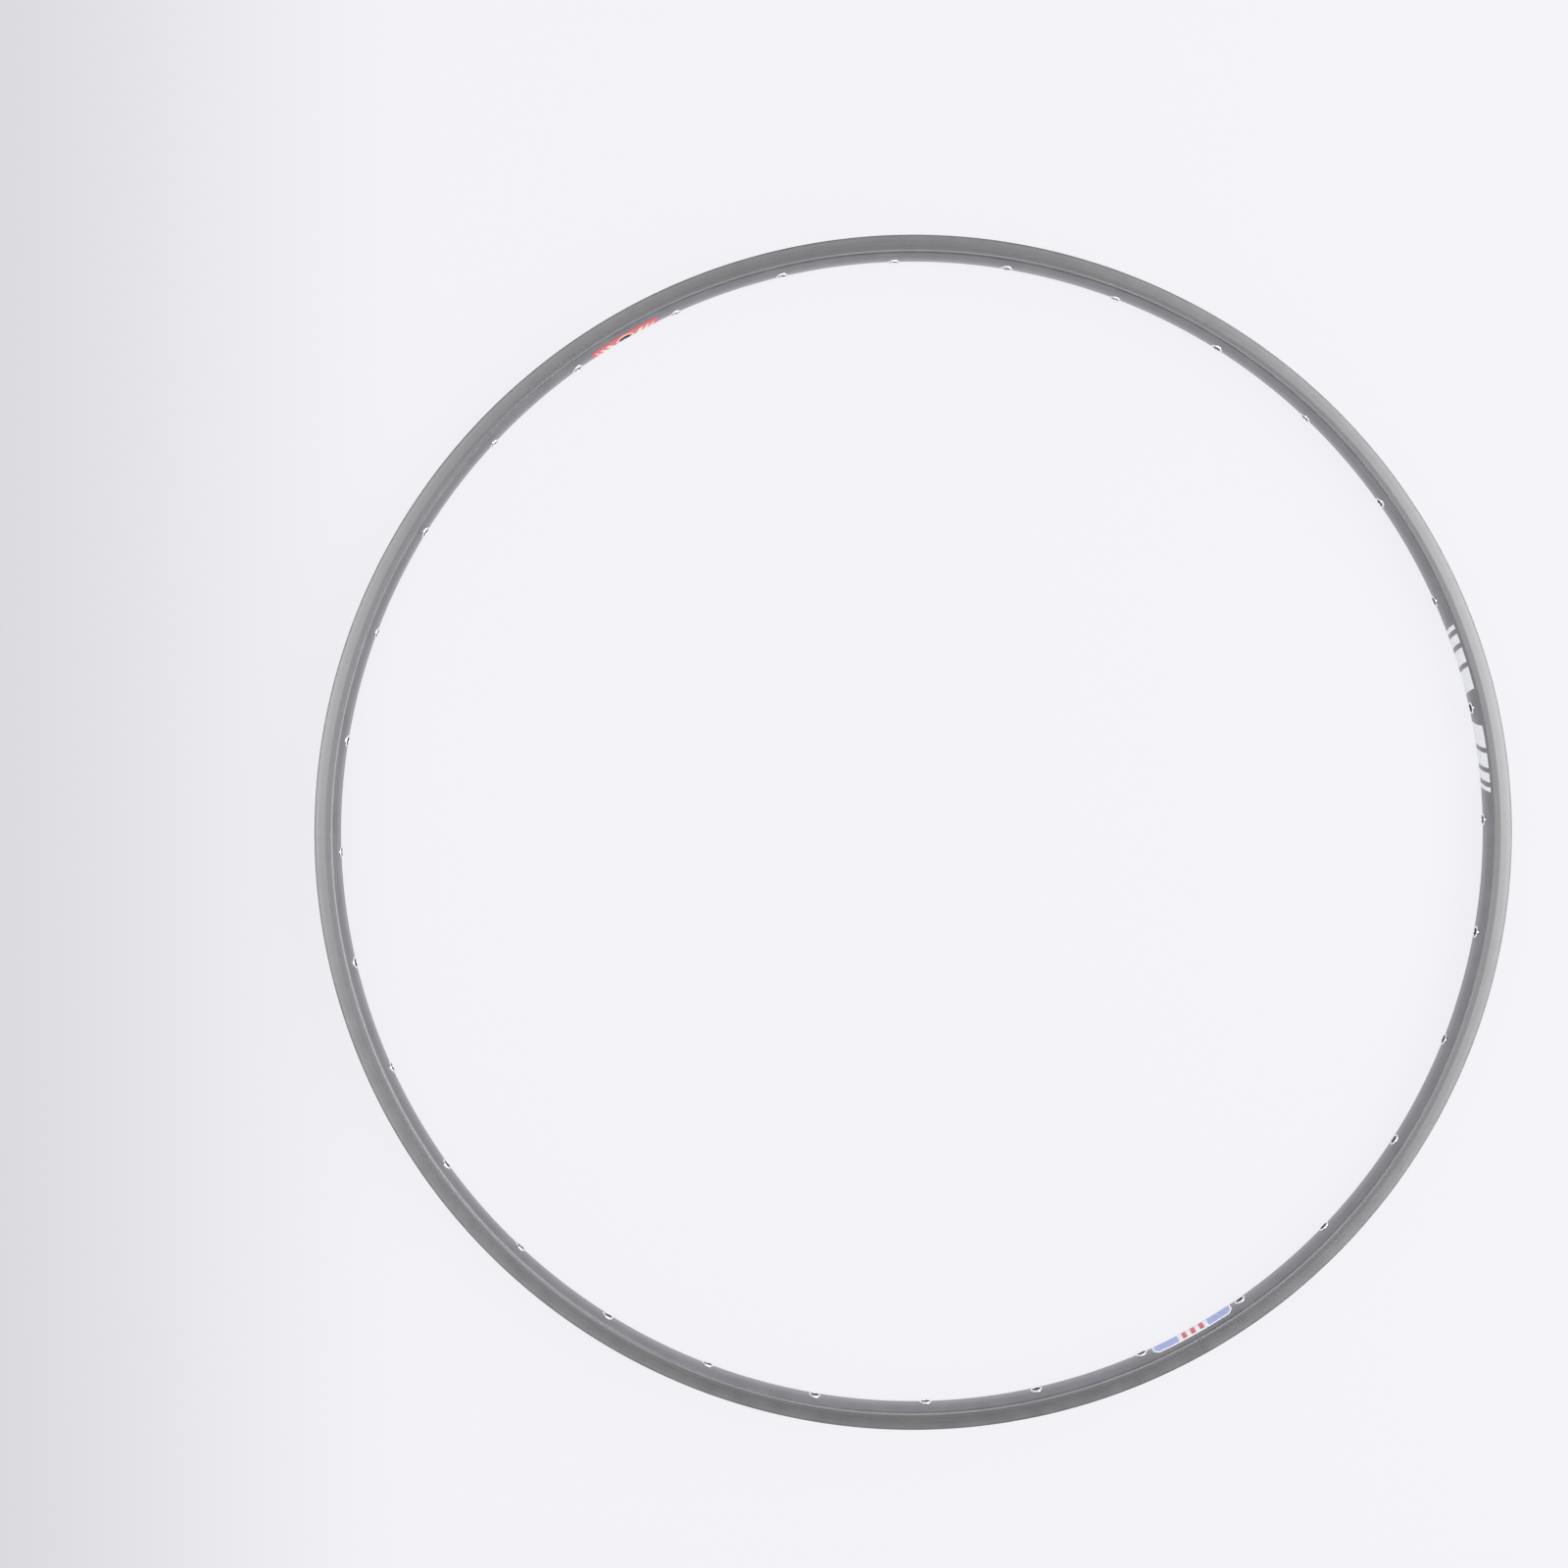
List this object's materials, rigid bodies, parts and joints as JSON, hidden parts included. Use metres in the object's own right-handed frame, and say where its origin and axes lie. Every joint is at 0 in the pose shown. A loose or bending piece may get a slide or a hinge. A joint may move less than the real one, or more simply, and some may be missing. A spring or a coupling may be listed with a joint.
{
  "type": "bicycle rim",
  "caption": "Shallow hollow aluminium bicycle rim for a glued tubular tyre, with a concave tyre bed, flat brake tracks, staggered spoke holes and a valve hole.",
  "frame": {"origin": "centre of the wheel, on the rim's mid-plane", "axes": "+Z along the wheel axis, +X towards the valve hole"},
  "size_m": [0.6339, 0.634, 0.02],
  "materials": {
    "rim": "satin grey hard anodising",
    "insert": "plain extruded"
  },
  "bodies": {
    "root": {"rim": "rim", "joint_insert": "insert"}
  },
  "joints": []
}
